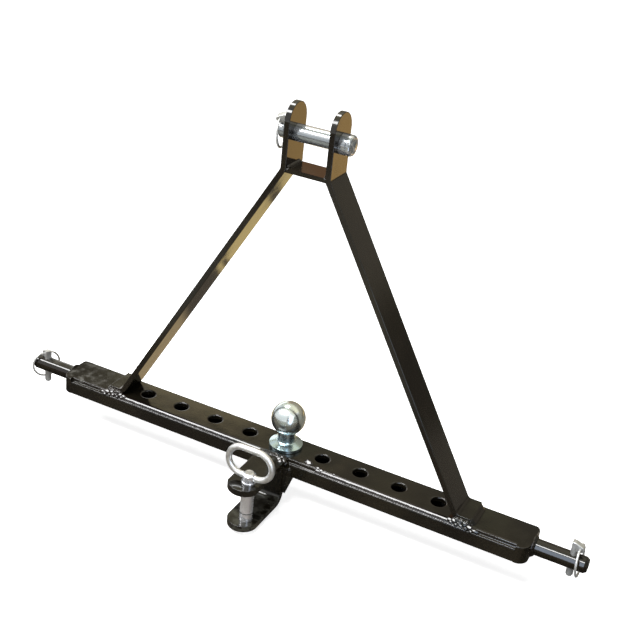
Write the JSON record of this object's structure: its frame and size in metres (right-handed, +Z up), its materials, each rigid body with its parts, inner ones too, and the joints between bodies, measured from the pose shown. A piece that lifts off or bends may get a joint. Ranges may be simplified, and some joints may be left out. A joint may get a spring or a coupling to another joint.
{
  "type": "three-point drawbar",
  "caption": "Drilled cross-bar with an A-frame mast, lower hitch pins, a tow ball and a pin clevis for a three-point linkage.",
  "frame": {"origin": "middle of the lower hitch axis, the line through both lower pins", "axes": "+X towards the right-hand lower pin, -Y towards the clevis, +Z up to the mast"},
  "size_m": [0.865, 0.1592, 0.5593],
  "materials": {
    "black_gloss_paint": "gloss black enamel over welded steel",
    "bright_zinc": "bright zinc plate, lightly brushed",
    "ball_steel": "turned and plated steel",
    "grey_zinc": "matt zinc plate",
    "black_rubber": "matt black rubber"
  },
  "bodies": {
    "drawbar": {"ball_lock_washer": "bright_zinc", "ball_nut": "bright_zinc", "bar_channel": "black_gloss_paint", "bar_seam_welds": "black_gloss_paint", "bar_top_plate": "black_gloss_paint", "clevis_gusset_left": "black_gloss_paint", "clevis_gusset_right": "black_gloss_paint", "clevis_lower_strap": "black_gloss_paint", "clevis_upper_arm": "black_gloss_paint", "clevis_welds": "black_gloss_paint", "cross_plate_welds": "black_gloss_paint", "end_cap_left": "black_gloss_paint", "end_cap_right": "black_gloss_paint", "foot_weld_left": "black_gloss_paint", "foot_weld_right": "black_gloss_paint", "lower_pin_left": "black_gloss_paint", "lower_pin_right": "black_gloss_paint", "lower_pin_welds": "black_gloss_paint", "mast_cross_plate": "black_gloss_paint", "mast_leg_left": "black_gloss_paint", "mast_leg_right": "black_gloss_paint", "tow_ball": "ball_steel"},
    "hitch_pin": {"hitch_pin": "bright_zinc", "hitch_pin_handle": "bright_zinc", "hitch_pin_rubber_ring": "black_rubber"},
    "top_link_pin": {"top_link_pin": "bright_zinc"},
    "lynch_pin_top": {"lynch_pin_top": "grey_zinc"},
    "lynch_ring_top": {"lynch_ring_top": "grey_zinc"},
    "lynch_pin_left": {"lynch_pin_left": "grey_zinc"},
    "lynch_ring_left": {"lynch_ring_left": "grey_zinc"},
    "lynch_pin_right": {"lynch_pin_right": "grey_zinc"},
    "lynch_ring_right": {"lynch_ring_right": "grey_zinc"}
  },
  "joints": [
    {"name": "hitch_pin_lift", "type": "slide", "parent": "drawbar", "child": "hitch_pin", "axis": [0, 0, 1], "range_m": [0, 0.08]},
    {"name": "top_link_pin_turn", "type": "hinge", "parent": "drawbar", "child": "top_link_pin", "pos_m": [0, 0, 0.4572], "axis": [1, 0, 0], "continuous": true},
    {"name": "lynch_pin_top_play", "type": "slide", "parent": "top_link_pin", "child": "lynch_pin_top", "axis": [0, -0.309, 0.9511], "range_m": [0, 0.009]},
    {"name": "lynch_ring_top_flip", "type": "hinge", "parent": "lynch_pin_top", "child": "lynch_ring_top", "pos_m": [-0.04765, -0.00641, 0.47236], "axis": [-0.2079, 0.9303, 0.3023], "range_deg": [0, 150]},
    {"name": "lynch_pin_left_play", "type": "slide", "parent": "drawbar", "child": "lynch_pin_left", "axis": [0, 0, 1], "range_m": [0, 0.004]},
    {"name": "lynch_ring_left_flip", "type": "hinge", "parent": "lynch_pin_left", "child": "lynch_ring_left", "pos_m": [-0.41789, 0.0034, 0.0163], "axis": [0.5, 0.866, 0], "range_deg": [0, 140]},
    {"name": "lynch_pin_right_play", "type": "slide", "parent": "drawbar", "child": "lynch_pin_right", "axis": [0, 0, 1], "range_m": [-0.005, 0.002]},
    {"name": "lynch_ring_right_flip", "type": "hinge", "parent": "lynch_pin_right", "child": "lynch_ring_right", "pos_m": [0.4188, 0, 0.022], "axis": [0, -1, 0], "range_deg": [0, 150]}
  ]
}
